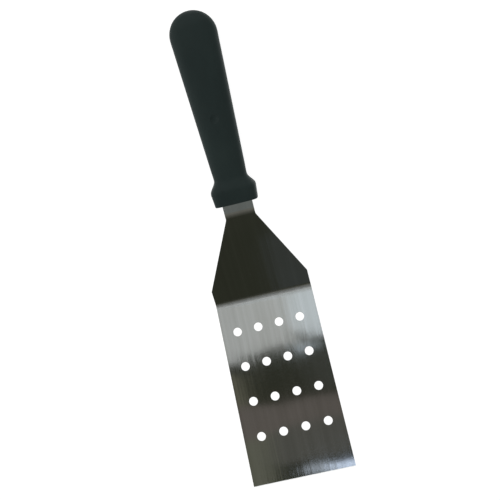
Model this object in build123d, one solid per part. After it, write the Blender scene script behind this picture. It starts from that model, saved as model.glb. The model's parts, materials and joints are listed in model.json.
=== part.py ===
from build123d import *
import math
import os

# A perforated grill spatula: a stamped steel blade with its offset, neck and tang in one piece,
# and a plastic handle moulded round the tang. Millimetres and degrees.
#
# The shapes are drawn in the blade's own frame: X across, Y from the heel bend towards the
# handle, Z up, with the top of the blade at Z = 0 and the heel bend at Y = 0. At the end the
# whole tool is turned to lie as it does on a table, on its heel and the butt of the handle.

# Steel sheet
sheet = 1.0  # thickness of the stamping
edge_radius = 0.15  # tumbled edges of the stamping

# Blade
blade_length = 139.5  # heel bend to tip
heel_width = 75.0
tip_width = 78.5
tip_corner_radius = 0.8
tip_bevel = 0.6  # how far the ground edge reaches back from the tip
tip_edge = 0.6  # sheet left at the ground edge

# Drain holes
hole_diameter = 6.5
hole_columns = 4
hole_rows = 4
column_pitch = 16.85  # at the middle of the grid
column_spread = 0.3  # the columns fan out: each row's pitch is this much more than the last one's
row_pitch = 26.9
grid_offset = -0.1  # grid centre, across from the blade's centre line
grid_distance = 62.8  # grid centre, from the heel bend towards the tip
grid_skew = 1.2  # the punched grid stands this far off square to the blade

# Offset section and neck
offset_angle = 32.0  # rise of the offset section above the blade
offset_length = 71.0  # heel bend to neck bend, along the slope
shoulder_length = 12.8  # full width past the heel bend
shoulder_radius = 1.2
heel_bend_radius = 7.0  # inside radius
neck_bend_radius = 18.0  # the neck's bend is a gentle one
taper_stop = 3.0  # the taper ends this far short of the neck bend
neck_width = 22.4
neck_corner_radius = 4.0
neck_length = 8.4  # steel showing between the neck bend and the collar
handle_angle = 18.0  # rise of the neck, tang and handle above the blade

# Tang, inside the handle
tang_width = 15.0
tang_length = 98.0  # from the collar's front face
tang_shoulder = 7.0  # the neck's full width goes this far into the collar
tang_shoulder_radius = 1.5
tang_end_radius = 5.0
tang_holes = 3
tang_hole_diameter = 6.0
tang_hole_pitch = 26.0
tang_first_hole = 26.0  # from the collar's front face

# Handle, measured along its axis from the collar's front face
handle_length = 137.9
collar_front_width = 31.6
collar_front_thickness = 18.4
collar_edge_radius = 0.5
ear_station = 9.8  # the collar's widest place, where the flare starts
ear_width = 34.2
ear_thickness = 20.6
waist_station = 19.3
waist_width = 24.5
waist_thickness = 14.4
swell_station = 84.0  # thickest place of the grip
swell_thickness = 17.8
butt_radius = 16.95  # the butt is a half circle in plan
butt_rounding = 12.0  # length over which the butt's thickness rounds off
butt_flat = 6.0  # last section stands this many degrees short of the pole
# Each quarter of a section is one curve whose handles reach this share of the way to the
# corner: 0.55 would be an ellipse, 1 is nearly square
collar_squareness = 1.0
grip_squareness = 0.8

# Shallow round dimple on the grip's top face
dimple_station = 62.0
dimple_diameter = 6.6
dimple_depth = 0.9

# Turn about the heel that brings the butt down onto the table
rest_tilt = 20.6

# Reach of the cutting shapes: past the sides of the blade, through the sheet but not so deep that
# one stretch's outline cuts into the next, and past each bend so that the outlines overlap there
CUT_WIDTH = 60.0
CUT_DEPTH = 20.0
BEND_OVERLAP = 2.5


def direction(angle):
    """Unit step along the tool's length, climbing at an angle."""
    a = math.radians(angle)
    return Vector(0, math.cos(a), math.sin(a))


def slope_plane(start, angle):
    """Plane of a flat stretch of sheet: local X across, local Y along the tool."""
    a = math.radians(angle)
    return Plane(origin=start, x_dir=(1, 0, 0), z_dir=(0, -math.sin(a), math.cos(a)))


heel = Vector(0, 0, 0)
neck_bend = heel + direction(offset_angle) * offset_length
collar_front = neck_bend + direction(handle_angle) * neck_length
tang_end = collar_front + direction(handle_angle) * tang_length
tip = Vector(0, -blade_length, 0)

blade_plane = slope_plane(heel, 0)
offset_plane = slope_plane(heel, offset_angle)
neck_plane = slope_plane(neck_bend, handle_angle)
# The handle is centred on the middle of the sheet's thickness
handle_plane = slope_plane(collar_front, handle_angle).offset(-sheet / 2)


def underside(angle_before, angle_after):
    """Step from a corner of the sheet's top line to the same corner of its bottom line."""
    before = slope_plane(heel, angle_before).z_dir
    after = slope_plane(heel, angle_after).z_dir
    return (before + after) * (-sheet / (1 + before.dot(after)))


def bent_ribbon():
    """The sheet seen from the side, bends included, as a band wider than the blade."""
    top = [tip, heel, neck_bend, tang_end]
    bottom = [
        tip + underside(0, 0),
        heel + underside(0, offset_angle),
        neck_bend + underside(offset_angle, handle_angle),
        tang_end + underside(handle_angle, handle_angle),
    ]
    upper = FilletPolyline(*top, radius=[heel_bend_radius, neck_bend_radius + sheet])
    lower = FilletPolyline(*bottom, radius=[heel_bend_radius + sheet, neck_bend_radius])
    ends = [Line(top[0], bottom[0]), Line(top[-1], bottom[-1])]
    side = make_face([*upper.edges(), *lower.edges(), *ends])
    return extrude(side, amount=CUT_WIDTH, dir=(1, 0, 0), both=True)


def mirrored_outline(right_side):
    """Closed outline from the points of its right-hand side, listed away from the tip."""
    left_side = [(-x, y) for x, y in reversed(right_side)]
    return make_face(Polyline(*right_side, *left_side, close=True))


def round_corners(outline, x, y, radius):
    """Round the two corners of a mirrored outline that lie at plus and minus x."""
    corners = [v for v in outline.vertices() if abs(abs(v.X) - x) < 1e-3 and abs(v.Y - y) < 1e-3]
    return fillet(corners, radius)


def blade_outline():
    outline = mirrored_outline([
        (tip_width / 2, -blade_length),
        (heel_width / 2, 0),
        (heel_width / 2, BEND_OVERLAP),
    ])
    return round_corners(outline, tip_width / 2, -blade_length, tip_corner_radius)


def offset_outline():
    taper_end = offset_length - taper_stop
    outline = mirrored_outline([
        (heel_width / 2, -BEND_OVERLAP),
        (heel_width / 2, shoulder_length),
        (neck_width / 2, taper_end),
        (neck_width / 2, offset_length + BEND_OVERLAP),
    ])
    outline = round_corners(outline, heel_width / 2, shoulder_length, shoulder_radius)
    return round_corners(outline, neck_width / 2, taper_end, neck_corner_radius)


def tang_outline():
    shoulder = neck_length + tang_shoulder
    end = neck_length + tang_length
    outline = mirrored_outline([
        (neck_width / 2, -BEND_OVERLAP),
        (neck_width / 2, shoulder),
        (tang_width / 2, shoulder),
        (tang_width / 2, end),
    ])
    outline = round_corners(outline, tang_width / 2, end, tang_end_radius)
    return round_corners(outline, tang_width / 2, shoulder, tang_shoulder_radius)


def drain_holes():
    """The punches of the drain-hole grid, standing square to the blade."""
    grid = Pos(grid_offset, -grid_distance) * Rot(0, 0, grid_skew)
    punch = Cylinder(hole_diameter / 2, 4 * sheet)
    punches = []
    for row in range(hole_rows):
        from_middle = row - (hole_rows - 1) / 2
        pitch = column_pitch + column_spread * from_middle
        columns = GridLocations(pitch, 0, hole_columns, 1)
        punches += [grid * Pos(0, -from_middle * row_pitch) * column * punch for column in columns]
    return punches


def tang_keys():
    """The punches of the holes that the handle's plastic flows through."""
    first = neck_length + tang_first_hole
    punch = Cylinder(tang_hole_diameter / 2, 4 * sheet)
    return [neck_plane * Pos(0, first + i * tang_hole_pitch) * punch for i in range(tang_holes)]


def tip_grind():
    """The wedge ground off the top of the tip."""
    back = tip + Vector(0, tip_bevel, 0)
    edge = tip - Vector(0, 0, sheet - tip_edge)
    beyond = edge + (edge - back)
    wedge = make_face(Polyline(back, beyond, (0, beyond.Y, sheet), (0, back.Y, sheet), close=True))
    return extrude(wedge, amount=CUT_WIDTH, dir=(1, 0, 0), both=True)


def tumble(blade):
    """Round every cut edge of the sheet, leaving the bends as they are."""
    skins = [f for f in blade.faces() if abs(f.normal_at().Z) > 0.5 and f.area > 10 * sheet]
    rims = []
    for skin in skins:
        neighbours = [edge for other in skins if other is not skin for edge in other.edges()]
        rims += [edge for edge in skin.edges() if not any(edge.is_same(n) for n in neighbours)]
    return fillet(rims, edge_radius)


def make_blade():
    """Bend the sheet, cut its outline, punch it, grind the tip and round its edges."""
    flat = extrude(blade_plane * blade_outline(), amount=CUT_DEPTH, both=True)
    offset_section = extrude(offset_plane * offset_outline(), amount=CUT_DEPTH, both=True)
    tang = extrude(neck_plane * tang_outline(), amount=CUT_DEPTH, both=True)
    blade = bent_ribbon() & (flat + offset_section + tang)
    return tumble(blade - [*drain_holes(), *tang_keys(), tip_grind()])


def grip_half_width(station):
    """Half width of the grip: a straight taper that runs tangent into the round butt."""
    centre = handle_length - butt_radius
    run = centre - waist_station
    waist = waist_width / 2
    taper = math.asin(butt_radius / math.hypot(run, waist)) - math.atan2(waist, run)
    tangent = centre - butt_radius * math.sin(taper)
    if station > tangent:
        return math.sqrt(butt_radius**2 - (station - centre) ** 2)
    return waist + (station - waist_station) * math.tan(taper)


def flare(station, rise):
    """Growth from the waist to the collar's ears, hollow at the waist and rounded at the ears."""
    share = (waist_station - station) / (waist_station - ear_station)
    return rise * (1 - math.cos(math.pi * max(share, 0.0))) / 2


def grip_half_thickness(station):
    """Half thickness of the grip: a shallow swell, rounded off over the butt."""
    span = swell_station - waist_station
    drop = (swell_thickness - waist_thickness) / 2
    swell = swell_thickness / 2 - drop * ((station - swell_station) / span) ** 2
    into_butt = (station - (handle_length - butt_rounding)) / butt_rounding
    return swell * math.sqrt(1 - max(into_butt, 0.0) ** 2)


def squareness(station):
    """Nearly square at the collar's ears, softer along the grip."""
    along = (station - ear_station) / (waist_station - ear_station)
    blend = max(0.0, 1 - along)
    return grip_squareness + (collar_squareness - grip_squareness) * blend**2


def section(station, half_width, half_thickness, square):
    """One rounded slice across the handle, from four mirrored quarter curves."""
    side = (half_width, 0)
    crown = (0, half_thickness)
    quarter = Bezier(side, (half_width, square * half_thickness), (square * half_width, half_thickness), crown)
    upper = [quarter, mirror(quarter, Plane.YZ)]
    lower = [mirror(edge, Plane.XZ) for edge in upper]
    slice_plane = Plane(
        origin=handle_plane.from_local_coords((0, station, 0)),
        x_dir=(1, 0, 0),
        z_dir=-direction(handle_angle),
    )
    return slice_plane * make_face([*upper, *lower])


def grip_section(station):
    width = grip_half_width(station) + flare(station, (ear_width - waist_width) / 2)
    thickness = grip_half_thickness(station) + flare(station, (ear_thickness - waist_thickness) / 2)
    return section(station, width, thickness, squareness(station))


def make_grip():
    """Flare, grip and butt in one smooth loft."""
    flare_steps = 9
    flare_run = waist_station - ear_station
    stations = [ear_station + flare_run * i / flare_steps for i in range(flare_steps + 1)]
    centre = handle_length - butt_radius
    body_steps = 20
    stations += [waist_station + (centre - waist_station) * i / body_steps for i in range(1, body_steps)]
    butt_steps = 10
    for i in range(butt_steps + 1):
        turn = math.radians((90 - butt_flat) * i / butt_steps)
        stations.append(centre + butt_radius * math.sin(turn))
    return loft([grip_section(s) for s in stations])


def make_collar():
    """The block ahead of the ears, narrowing to its flat front face."""
    front = section(0, collar_front_width / 2, collar_front_thickness / 2, collar_squareness)
    collar = loft([front, grip_section(ear_station)], ruled=True)
    front_edges = collar.faces().sort_by(Axis(collar_front, direction(handle_angle)))[0].edges()
    return fillet(front_edges, collar_edge_radius)


def dimple():
    """Ball that presses the shallow dimple into the top of the grip."""
    rim = dimple_diameter / 2
    radius = (rim**2 + dimple_depth**2) / (2 * dimple_depth)
    height = grip_half_thickness(dimple_station) - dimple_depth + radius
    return handle_plane * Pos(0, dimple_station, height) * Sphere(radius)


def make_handle(blade):
    handle = make_grip() + make_collar()
    return handle - dimple() - blade


def lay_on_table(shapes):
    """Tilt the tool about its heel, then put the middle of its footprint at the origin."""
    turned = [Rot(-rest_tilt, 0, 0) * shape for shape in shapes]
    low = [min(values) for values in zip(*(shape.bounding_box().min for shape in turned))]
    high = [max(values) for values in zip(*(shape.bounding_box().max for shape in turned))]
    place = Pos(-(low[0] + high[0]) / 2, -(low[1] + high[1]) / 2, -low[2])
    return [place * shape for shape in turned]


def main():
    blade = make_blade()
    handle = make_handle(blade)
    laid = lay_on_table([blade, handle])
    os.makedirs("parts", exist_ok=True)
    for name, shape in zip(["blade", "handle"], laid):
        export_step(shape, f"parts/{name}.step")
        box = shape.bounding_box()
        print(name, "volume", round(shape.volume), "low", box.min, "high", box.max)


main()
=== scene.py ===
import json
import math

import bpy
from mathutils import Matrix, Vector

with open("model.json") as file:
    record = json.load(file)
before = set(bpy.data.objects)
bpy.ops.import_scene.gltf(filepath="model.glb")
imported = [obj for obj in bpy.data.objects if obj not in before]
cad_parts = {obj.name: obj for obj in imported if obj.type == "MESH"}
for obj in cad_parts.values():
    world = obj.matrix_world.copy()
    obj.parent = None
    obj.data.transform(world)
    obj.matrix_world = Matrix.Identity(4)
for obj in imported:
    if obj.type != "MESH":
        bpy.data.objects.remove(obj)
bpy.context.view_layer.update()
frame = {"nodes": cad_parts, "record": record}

blade = frame["nodes"]["blade"]
handle = frame["nodes"]["handle"]
mounts = {m["name"]: m for m in frame["record"]["mounts"]}

# ---------------------------------------------------------------- the tool's own axes
# The blade climbs towards its tip, so lengths and angles are taken from the blade's top face:
# X across, Y from the tip towards the handle, Z out of the face.
face_normal = Vector(mounts["blade_top"]["axis"]).normalized()
across = Vector((1, 0, 0))
along = face_normal.cross(across)
face_axes = Matrix((across, along, face_normal)).transposed()
face_centre = Vector(mounts["blade_top"]["pos_m"])
HEEL_FROM_FACE_CENTRE = 0.07144
heel = face_centre + along * HEEL_FROM_FACE_CENTRE


# ---------------------------------------------------------------- camera
# The camera is turned a little from square on to the blade. It stands off the heel bend by its
# distance, and by two shifts in the plane of its picture.
VIEW_ROLL = math.radians(12.9)
VIEW_PITCH = math.radians(-6.2)
VIEW_YAW = math.radians(-5.2)
VIEW_DISTANCE = 0.6139
VIEW_SHIFT_ACROSS = 0.0101
VIEW_SHIFT_ALONG = 0.0347
LENS_MM = 57.6
SENSOR_MM = 36
NEAREST_SEEN = 0.01


def make_camera():
    """Looks almost square on to the blade, from the height of someone standing over it."""
    roll = Matrix.Rotation(VIEW_ROLL, 3, "Z")
    pitch = Matrix.Rotation(VIEW_PITCH, 3, "X")
    yaw = Matrix.Rotation(VIEW_YAW, 3, "Y")
    turn = face_axes @ (roll @ pitch @ yaw).transposed()
    data = bpy.data.cameras.new("camera")
    data.lens = LENS_MM
    data.sensor_width = SENSOR_MM
    data.clip_start = NEAREST_SEEN
    camera = bpy.data.objects.new("camera", data)
    place = heel + turn @ Vector((-VIEW_SHIFT_ACROSS, VIEW_SHIFT_ALONG, VIEW_DISTANCE))
    camera.matrix_world = Matrix.Translation(place) @ turn.to_4x4()
    bpy.context.scene.collection.objects.link(camera)
    bpy.context.scene.camera = camera


make_camera()


# ---------------------------------------------------------------- node helpers
def new_material(name):
    material = bpy.data.materials.new(name)
    material.use_nodes = True
    tree = material.node_tree
    shader = next(n for n in tree.nodes if n.type == "BSDF_PRINCIPLED")
    return material, tree, shader


def add(tree, kind, **values):
    """A node with its properties and its inputs set by name."""
    node = tree.nodes.new(kind)
    for key, value in values.items():
        if key in node.inputs:
            node.inputs[key].default_value = value
        else:
            setattr(node, key, value)
    return node


def link(tree, source, target):
    tree.links.new(source, target)


def noise(tree, scale, detail=2.0, roughness=0.5):
    """Noise over the object, with one scale per axis, so that it can be drawn out into streaks."""
    place = add(tree, "ShaderNodeTexCoord")
    stretch = add(tree, "ShaderNodeMapping", Scale=scale)
    field = add(tree, "ShaderNodeTexNoise", Scale=1.0, Detail=detail, Roughness=roughness)
    link(tree, place.outputs["Object"], stretch.inputs["Vector"])
    link(tree, stretch.outputs["Vector"], field.inputs["Vector"])
    return field.outputs["Fac"]


def remap(tree, source, low, high, to_low=0.0, to_high=1.0):
    node = add(tree, "ShaderNodeMapRange", clamp=True)
    for name, value in (("From Min", low), ("From Max", high), ("To Min", to_low), ("To Max", to_high)):
        node.inputs[name].default_value = value
    link(tree, source, node.inputs["Value"])
    return node.outputs["Result"]


def combine(tree, operation, first, second):
    """Maths on two values, each a socket or a number."""
    node = add(tree, "ShaderNodeMath", operation=operation)
    for socket, value in zip(node.inputs, (first, second)):
        if isinstance(value, (int, float)):
            socket.default_value = value
        else:
            link(tree, value, socket)
    return node.outputs["Value"]


def blend_colours(tree, factor, first, second):
    """Mix of two colours, each a socket or a triple."""
    node = add(tree, "ShaderNodeMix", data_type="RGBA")
    sockets = [s for s in node.inputs if s.type == "RGBA"]
    for socket, value in zip(sockets, (first, second)):
        if isinstance(value, tuple):
            socket.default_value = (*value, 1)
        else:
            link(tree, value, socket)
    link(tree, factor, node.inputs["Factor"])
    return next(s for s in node.outputs if s.type == "RGBA")


# Cosines of the angle between the true and the rounded-off surface where wear starts and is full
WEAR_STARTS = 0.995
WEAR_FULL = 0.88
PATCH_SPAN = (0.35, 0.6)


def worn_edges(tree, width, patch_scale):
    """1 along sharp edges and 0 elsewhere, broken up by noise."""
    rounded = add(tree, "ShaderNodeBevel", Radius=width, samples=6)
    flat = add(tree, "ShaderNodeNewGeometry")
    agreement = add(tree, "ShaderNodeVectorMath", operation="DOT_PRODUCT")
    link(tree, rounded.outputs["Normal"], agreement.inputs[0])
    link(tree, flat.outputs["Normal"], agreement.inputs[1])
    edge = remap(tree, agreement.outputs["Value"], WEAR_STARTS, WEAR_FULL)
    patches = remap(tree, noise(tree, patch_scale, detail=3), *PATCH_SPAN)
    return combine(tree, "MULTIPLY", edge, patches)


def near(tree, middle, reach):
    """1 at a point, fading to 0 at a distance from it along the tool."""
    place = add(tree, "ShaderNodeTexCoord")
    offset = add(tree, "ShaderNodeVectorMath", operation="SUBTRACT")
    offset.inputs[1].default_value = middle
    distance = add(tree, "ShaderNodeVectorMath", operation="DOT_PRODUCT")
    distance.inputs[1].default_value = along
    link(tree, place.outputs["Object"], offset.inputs[0])
    link(tree, offset.outputs["Vector"], distance.inputs[0])
    return remap(tree, combine(tree, "ABSOLUTE", distance.outputs["Value"], 0), 0.0, reach, 1.0, 0.0)


def bump(tree, height, distance, under=None):
    node = add(tree, "ShaderNodeBump", Strength=1.0, Distance=distance)
    link(tree, height, node.inputs["Height"])
    if under:
        link(tree, under, node.inputs["Normal"])
    return node.outputs["Normal"]


# ---------------------------------------------------------------- materials
# Noise scales are in features per metre along X, Y and Z, and depths and widths in metres. A span
# is the stretch of noise values that is used, and any other pair is what its two ends give.
NOISE_SPAN = (0.3, 0.7)

LINE_SCALE = (1500, 9, 9)
LINE_SPAN = (0.25, 0.75)
LINE_DEPTH = 0.000007
STREAK_SCALE = (210, 2.2, 2.2)
STREAK_DEPTH = 0.00003
WAVE_SCALE = (14, 14, 14)
WAVE_DEPTH = 0.0006
SMUDGE_SCALE = (28, 28, 28)
SMUDGE_SPAN = (0.35, 0.75)
STEEL_WEAR_WIDTH = 0.0006
STEEL_WEAR_SCALE = (300, 300, 300)
STEEL_GREYS = ((0.56, 0.57, 0.56), (0.66, 0.67, 0.67))
STEEL_SMUDGE = (0.50, 0.49, 0.46)
STEEL_SMUDGED = 0.25
STEEL_BRIGHT = (0.78, 0.78, 0.78)
STEEL_ROUGHNESS = (0.058, 0.085)
SMUDGE_ROUGHNESS = (-0.01, 0.02)
STEEL_WEAR_POLISH = 0.05
BRUSHING = 0.6

# The brushing is duller where the sheet was bent, most of all on the blade's side of the heel
DULL_MIDDLE = heel - along * 0.0014
DULL_REACH = 0.0038
DULL_ROUGHNESS = 0.32

GRAIN_SCALE = (2600, 2600, 2600)
GRAIN_DEPTH = 0.000012
CLOUD_SCALE = (45, 22, 45)
PLASTIC_WEAR_WIDTH = 0.0012
PLASTIC_WEAR_SCALE = (220, 220, 220)
PLASTIC_BLACKS = ((0.023, 0.035, 0.034), (0.030, 0.045, 0.043))
PLASTIC_RUBBED = (0.045, 0.052, 0.050)
PLASTIC_RUBBING = 0.5
PLASTIC_ROUGHNESS = (0.48, 0.60)
GRAIN_ROUGHNESS = (-0.03, 0.03)
PLASTIC_WEAR_POLISH = 0.08
PLASTIC_SPECULAR = 0.12


def brushed_stainless():
    """Sheet brushed lengthwise: fine lines and broader streaks run from the tip to the tang."""
    material, tree, shader = new_material("brushed_stainless")
    lines = noise(tree, LINE_SCALE, detail=3, roughness=0.6)
    streaks = noise(tree, STREAK_SCALE, detail=3)
    clouds = noise(tree, SMUDGE_SCALE, detail=3)
    wear = worn_edges(tree, STEEL_WEAR_WIDTH, STEEL_WEAR_SCALE)

    grey = blend_colours(tree, remap(tree, streaks, *NOISE_SPAN), *STEEL_GREYS)
    smudges = remap(tree, clouds, *SMUDGE_SPAN, 0.0, STEEL_SMUDGED)
    smudged = blend_colours(tree, smudges, grey, STEEL_SMUDGE)
    link(tree, blend_colours(tree, wear, smudged, STEEL_BRIGHT), shader.inputs["Base Color"])

    drawn = remap(tree, lines, *LINE_SPAN, *STEEL_ROUGHNESS)
    cloudy = combine(tree, "ADD", drawn, remap(tree, clouds, *NOISE_SPAN, *SMUDGE_ROUGHNESS))
    dulling = combine(tree, "MULTIPLY", near(tree, DULL_MIDDLE, DULL_REACH), DULL_ROUGHNESS)
    dulled = combine(tree, "ADD", cloudy, dulling)
    polishing = combine(tree, "MULTIPLY", wear, STEEL_WEAR_POLISH)
    link(tree, combine(tree, "SUBTRACT", dulled, polishing), shader.inputs["Roughness"])

    waviness = bump(tree, noise(tree, WAVE_SCALE, detail=1), WAVE_DEPTH)
    broad = bump(tree, streaks, STREAK_DEPTH, under=waviness)
    link(tree, bump(tree, lines, LINE_DEPTH, under=broad), shader.inputs["Normal"])

    # The brush lines spread reflections across the blade, so the tangent points that way
    crosswise = add(tree, "ShaderNodeVectorTransform", vector_type="VECTOR",
                    convert_from="OBJECT", convert_to="WORLD", Vector=across)
    link(tree, crosswise.outputs["Vector"], shader.inputs["Tangent"])
    shader.inputs["Anisotropic"].default_value = BRUSHING
    shader.inputs["Metallic"].default_value = 1.0
    return material


def black_plastic():
    """Moulded plastic, nearly black with a green cast, with a fine satin grain."""
    material, tree, shader = new_material("black_plastic")
    grain = noise(tree, GRAIN_SCALE, detail=2)
    clouds = noise(tree, CLOUD_SCALE, detail=4)
    wear = worn_edges(tree, PLASTIC_WEAR_WIDTH, PLASTIC_WEAR_SCALE)

    black = blend_colours(tree, remap(tree, clouds, *NOISE_SPAN), *PLASTIC_BLACKS)
    rubbing = combine(tree, "MULTIPLY", wear, PLASTIC_RUBBING)
    link(tree, blend_colours(tree, rubbing, black, PLASTIC_RUBBED), shader.inputs["Base Color"])

    satin = remap(tree, clouds, *NOISE_SPAN, *PLASTIC_ROUGHNESS)
    grained = combine(tree, "ADD", satin, remap(tree, grain, *NOISE_SPAN, *GRAIN_ROUGHNESS))
    polishing = combine(tree, "MULTIPLY", wear, PLASTIC_WEAR_POLISH)
    link(tree, combine(tree, "SUBTRACT", grained, polishing), shader.inputs["Roughness"])

    link(tree, bump(tree, grain, GRAIN_DEPTH), shader.inputs["Normal"])
    shader.inputs["Specular IOR Level"].default_value = PLASTIC_SPECULAR
    return material


def set_material(node, material):
    node.data.materials.clear()
    node.data.materials.append(material)


set_material(blade, brushed_stainless())
set_material(handle, black_plastic())


# ---------------------------------------------------------------- floor and light
FLOOR_RADIUS = 5.0
FLOOR_GREY = 0.3
FLOOR_ROUGHNESS = 0.9
FLOOR_GLOW = 0.93
PANEL_HEIGHT = 1.2

# Flat panels overhead, seen by the steel as a set of soft bands. Each has its left and right edge
# (X), its edges towards the tip and towards the handle (Y), its brightness and its tint.
PANELS = {
    "key_left": (-0.75, -0.180, 0.323, 0.85, 0.52, (0.98, 1.0, 1.0)),
    "key": (-0.180, -0.053, 0.338, 0.85, 0.53, (0.98, 1.0, 0.99)),
    "window": (-0.053, -0.028, 0.368, 0.85, 0.78, (0.92, 1.0, 1.05)),
    "window_side": (-0.028, 0.45, 0.352, 0.85, 0.78, (0.92, 1.0, 1.06)),
    "sill": (-0.070, -0.020, 0.318, 0.338, 0.62, (0.88, 1.0, 1.12)),
    "wall": (-0.60, 0.40, 0.150, 0.212, 0.112, (1.0, 0.83, 0.81)),
    "table": (-0.165, 0.40, 0.082, 0.150, 0.070, (1.0, 0.95, 0.93)),
    "cupboard": (-0.60, -0.165, 0.010, 0.150, 0.115, (1.0, 1.0, 0.80)),
    "warm_patch": (-0.40, -0.200, 0.212, 0.300, 0.110, (1.0, 0.95, 0.72)),
    "corner": (-0.045, 0.40, 0.225, 0.300, 0.025, (0.95, 1.0, 1.05)),
    "skirting": (-0.10, -0.040, 0.046, 0.068, 0.60, (0.87, 0.97, 1.13)),
    "skirting_glint": (-0.040, 0.35, 0.048, 0.067, 1.35, (0.80, 0.93, 1.18)),
    "zenith": (-0.60, 0.40, -0.24, 0.01, 0.15, (0.92, 1.0, 1.02)),
    "far_side": (-0.09, 0.40, -1.15, -0.86, 0.022, (0.85, 1.0, 1.3)),
    "back_ceiling": (-1.30, 1.30, 0.85, 2.40, 0.90, (1.0, 1.0, 1.0)),
    "left_wing": (-2.20, -0.85, -1.60, 0.10, 0.40, (1.0, 1.0, 1.0)),
    "right_wing": (0.65, 2.00, -1.60, 0.10, 0.40, (1.0, 1.0, 1.0)),
}
# Beyond the zenith panel's front edge the ceiling darkens in steps
FADE_FAR = -0.84
FADE_STEPS = 6
FADE_CURVE = 1.5
FADE_TINT = (1.0, 0.97, 0.90)

# Big soft lights aimed at the floor's middle: place, width, depth and brightness
SIDE_LIGHTS = {
    "left_light": ((-1.6, 0.3, 1.15), 1.0, 1.5, 1.4),
    "front_light": ((-0.6, -2.0, 1.2), 1.6, 0.8, 1.2),
}

# The surroundings change from the pale to the dark colour between two heights, as sines of the
# angle above the horizon
SKY_PALE = (0.35, 0.35, 0.35)
SKY_DARK = (0.034, 0.036, 0.025)
SKY_PALE_TO = 0.5
SKY_DARK_FROM = 0.7


def make_floor():
    """A plain floor that glows nearly white, so that shadows on it stay faint."""
    bpy.ops.mesh.primitive_circle_add(vertices=128, radius=FLOOR_RADIUS, fill_type="NGON")
    floor = bpy.context.object
    floor.name = "floor"
    material, tree, shader = new_material("white_table")
    shader.inputs["Base Color"].default_value = (FLOOR_GREY, FLOOR_GREY, FLOOR_GREY, 1)
    shader.inputs["Roughness"].default_value = FLOOR_ROUGHNESS
    shader.inputs["Emission Color"].default_value = (1, 1, 1, 1)
    shader.inputs["Emission Strength"].default_value = FLOOR_GLOW
    floor.data.materials.append(material)


def softbox(name, place, aim, width, depth, radiance, tint=(1, 1, 1)):
    """A rectangular light that faces a point, given by its brightness as seen, not its power."""
    data = bpy.data.lights.new(name, "AREA")
    data.shape = "RECTANGLE"
    data.size = width
    data.size_y = depth
    data.color = tint
    data.energy = radiance * math.pi * width * depth
    lamp = bpy.data.objects.new(name, data)
    lamp.location = place
    lamp.rotation_euler = (Vector(place) - Vector(aim)).to_track_quat("Z", "Y").to_euler()
    lamp.visible_camera = False
    bpy.context.scene.collection.objects.link(lamp)


def ceiling_panel(name, left, right, front, back, radiance, tint):
    x, y = (left + right) / 2, (front + back) / 2
    place, below = (x, y, PANEL_HEIGHT), (x, y, 0)
    softbox(name, place, below, right - left, back - front, radiance, tint)


def make_light():
    for name, panel in PANELS.items():
        ceiling_panel(name, *panel)
    left, right, front, _, radiance, _ = PANELS["zenith"]
    depth = (front - FADE_FAR) / FADE_STEPS
    for step in range(FADE_STEPS):
        back = front - step * depth
        dimmed = radiance * (1 - (step + 0.5) / FADE_STEPS) ** FADE_CURVE
        ceiling_panel(f"fade_{step}", left, right, back - depth, back, dimmed, FADE_TINT)
    for name, (place, width, depth, radiance) in SIDE_LIGHTS.items():
        softbox(name, place, (0, 0, 0), width, depth, radiance)


def make_world():
    """Pale all round at eye level and dark overhead, like a studio with its ceiling blacked out."""
    world = bpy.data.worlds.new("studio")
    world.use_nodes = True
    tree = world.node_tree
    background = tree.nodes["Background"]
    direction = add(tree, "ShaderNodeTexCoord")
    parts = add(tree, "ShaderNodeSeparateXYZ")
    link(tree, direction.outputs["Generated"], parts.inputs["Vector"])
    overhead = remap(tree, parts.outputs["Z"], SKY_PALE_TO, SKY_DARK_FROM)
    sky = blend_colours(tree, overhead, SKY_PALE, SKY_DARK)
    link(tree, sky, background.inputs["Color"])
    bpy.context.scene.world = world


make_floor()
make_light()
make_world()
bpy.context.scene.view_settings.view_transform = "Standard"
